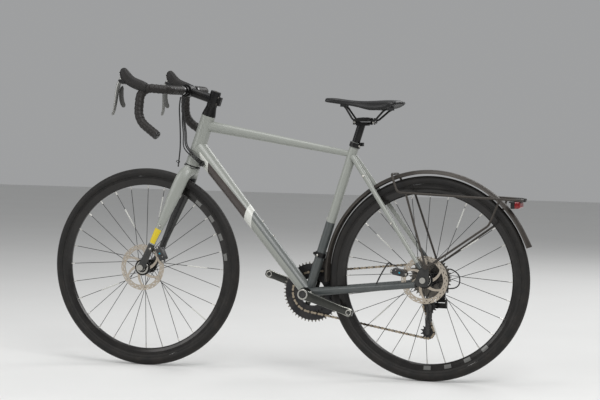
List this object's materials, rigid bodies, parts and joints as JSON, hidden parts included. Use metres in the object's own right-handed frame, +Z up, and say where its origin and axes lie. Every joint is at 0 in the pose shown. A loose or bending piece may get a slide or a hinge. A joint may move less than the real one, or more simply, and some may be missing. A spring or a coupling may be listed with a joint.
{
  "type": "road bicycle",
  "caption": "Drop-bar road bicycle with disc brakes, rear mudguard, side pannier rails and tail light; pedals not fitted.",
  "frame": {"origin": "on the ground straight under the bottom bracket, in the bicycle's middle plane", "axes": "+X forward, +Y to the rider's left, +Z up"},
  "size_m": [1.7041, 0.5102, 1.0369],
  "materials": {
    "frame_light": "satin paint",
    "frame_dark": "satin paint",
    "black_alloy": "anodised black",
    "silver_alloy": "satin alloy",
    "tyre_rubber": "ribbed rubber",
    "rim_black": "semi-gloss black",
    "spoke_steel": "black and silver steel",
    "disc_steel": "brushed steel",
    "rack_bronze": "matt bronze-grey",
    "bar_tape": "wrapped tape",
    "grip_rubber": "soft rubber",
    "black_plastic": "moulded plastic",
    "red_lens": "clear red plastic",
    "cable_black": "smooth cable jacket",
    "chain_steel": "oiled steel",
    "cog_steel": "plated steel",
    "crank_grey": "dark polished alloy",
    "saddle_cover": "smooth synthetic cover"
  },
  "bodies": {
    "frame": {"head_tube": "frame_light", "top_tube": "frame_light", "down_tube": "frame_light", "seat_tube": "frame_dark", "bottom_bracket": "frame_dark", "chainstay_left": "frame_dark", "chainstay_right": "frame_dark", "seatstay_left": "frame_light", "seatstay_right": "frame_light", "bearing_cups": "black_alloy", "seat_clamp": "black_alloy", "front_mech_clamp": "black_alloy", "rear_mudguard": "rack_bronze", "rack_rails": "rack_bronze", "rack_struts": "rack_bronze", "tail_light": "red_lens", "rear_caliper": "black_alloy", "rear_axle": "silver_alloy", "rear_cables": "cable_black", "chain": "chain_steel", "rear_mech_base": "black_alloy"},
    "steering": {"fork": "frame_light", "front_axle": "silver_alloy", "headset_spacers": "black_alloy", "stem": "black_alloy", "handlebar": "black_alloy", "bar_tape": "bar_tape", "hood_left": "grip_rubber", "hood_right": "grip_rubber", "front_caliper": "black_alloy", "front_hose": "cable_black", "gear_cables": "cable_black"},
    "brake_lever_left": {"lever_left": "silver_alloy"},
    "brake_lever_right": {"lever_right": "silver_alloy"},
    "shift_paddle_left": {"paddle_left": "silver_alloy"},
    "shift_paddle_right": {"paddle_right": "silver_alloy"},
    "front_wheel": {"front_tyre": "tyre_rubber", "front_rim": "rim_black", "front_spokes": "spoke_steel", "front_hub": "black_alloy", "front_disc": "disc_steel"},
    "rear_wheel": {"rear_tyre": "tyre_rubber", "rear_rim": "rim_black", "rear_spokes": "spoke_steel", "rear_hub": "black_alloy", "rear_disc": "disc_steel"},
    "cassette_body": {"cassette": "cog_steel"},
    "crankset": {"crank_right": "crank_grey", "crank_left": "crank_grey", "chainrings": "crank_grey"},
    "saddle_and_post": {"seatpost": "black_alloy", "saddle_rails": "black_alloy", "saddle_base": "black_plastic", "saddle_pad": "saddle_cover"},
    "front_mech_swing": {"front_mech_cage": "chain_steel"},
    "rear_mech_arm": {"rear_mech_link": "black_alloy"},
    "rear_mech_p_body": {"rear_mech_knuckle": "black_alloy"},
    "rear_mech_cage_body": {"rear_mech_cage": "black_alloy"},
    "guide_wheel": {"guide_pulley": "black_plastic"},
    "tension_wheel": {"tension_pulley": "black_plastic"}
  },
  "joints": [
    {"name": "steering_turn", "type": "hinge", "parent": "frame", "child": "steering", "pos_m": [0.4286, 0, 0.704], "axis": [-0.3079, 0, 0.9514], "range_deg": [-55, 55], "deforming": ["gear_cables"]},
    {"name": "front_wheel_spin", "type": "hinge", "parent": "steering", "child": "front_wheel", "pos_m": [0.595, 0, 0.344], "axis": [0, 1, 0], "continuous": true},
    {"name": "rear_wheel_spin", "type": "hinge", "parent": "frame", "child": "rear_wheel", "pos_m": [-0.421, 0, 0.344], "axis": [0, 1, 0], "continuous": true},
    {"name": "crank_turn", "type": "hinge", "parent": "frame", "child": "crankset", "pos_m": [0, 0, 0.278], "axis": [0, 1, 0], "continuous": true, "deforming": ["chain"]},
    {"name": "cassette_turn", "type": "hinge", "parent": "frame", "child": "cassette_body", "pos_m": [-0.421, 0, 0.344], "axis": [0, 1, 0], "continuous": true},
    {"name": "guide_wheel_spin", "type": "hinge", "parent": "rear_mech_cage_body", "child": "guide_wheel", "pos_m": [-0.416, 0, 0.248], "axis": [0, 1, 0], "continuous": true},
    {"name": "tension_wheel_spin", "type": "hinge", "parent": "rear_mech_cage_body", "child": "tension_wheel", "pos_m": [-0.41166, 0, 0.16111], "axis": [0, 1, 0], "continuous": true},
    {"name": "rear_mech_shift", "type": "hinge", "parent": "frame", "child": "rear_mech_arm", "pos_m": [-0.449, -0.086, 0.3], "axis": [1, 0, 0], "range_deg": [-10, 10], "stiffness_Nm_per_rad": 3},
    {"name": "rear_mech_parallel", "type": "hinge", "parent": "rear_mech_arm", "child": "rear_mech_p_body", "pos_m": [-0.449, -0.076, 0.264], "axis": [1, 0, 0], "range_deg": [-10, 10]},
    {"name": "chain_tensioner", "type": "hinge", "parent": "rear_mech_p_body", "child": "rear_mech_cage_body", "pos_m": [-0.416, 0, 0.248], "axis": [0, 1, 0], "range_deg": [-24, 8], "stiffness_Nm_per_rad": 1},
    {"name": "front_mech_shift", "type": "hinge", "parent": "frame", "child": "front_mech_swing", "pos_m": [-0.0446, -0.04, 0.404], "axis": [1, 0, 0], "range_deg": [-5, 0], "stiffness_Nm_per_rad": 2},
    {"name": "seatpost_slide", "type": "slide", "parent": "frame", "child": "saddle_and_post", "axis": [-0.294, 0, 0.9558], "range_m": [-0.05, 0.04]},
    {"name": "brake_lever_left_pull", "type": "hinge", "parent": "steering", "child": "brake_lever_left", "pos_m": [0.61, 0.21, 0.988], "axis": [0, 1, 0], "range_deg": [0, 18], "stiffness_Nm_per_rad": 0.8},
    {"name": "shift_paddle_left_push", "type": "hinge", "parent": "brake_lever_left", "child": "shift_paddle_left", "pos_m": [0.606, 0.199, 0.935], "axis": [0, 0, -1], "range_deg": [0, 12], "stiffness_Nm_per_rad": 0.2},
    {"name": "brake_lever_right_pull", "type": "hinge", "parent": "steering", "child": "brake_lever_right", "pos_m": [0.61, -0.21, 0.988], "axis": [0, 1, 0], "range_deg": [0, 18], "stiffness_Nm_per_rad": 0.8},
    {"name": "shift_paddle_right_push", "type": "hinge", "parent": "brake_lever_right", "child": "shift_paddle_right", "pos_m": [0.606, -0.199, 0.935], "axis": [0, 0, 1], "range_deg": [0, 12], "stiffness_Nm_per_rad": 0.2}
  ],
  "couplings": [
    {"joint": "cassette_turn", "follows": "crank_turn", "ratio": 1.36},
    {"joint": "guide_wheel_spin", "follows": "crank_turn", "ratio": -3.0909},
    {"joint": "tension_wheel_spin", "follows": "crank_turn", "ratio": 3.0909},
    {"joint": "rear_mech_parallel", "follows": "rear_mech_shift", "ratio": -1}
  ]
}
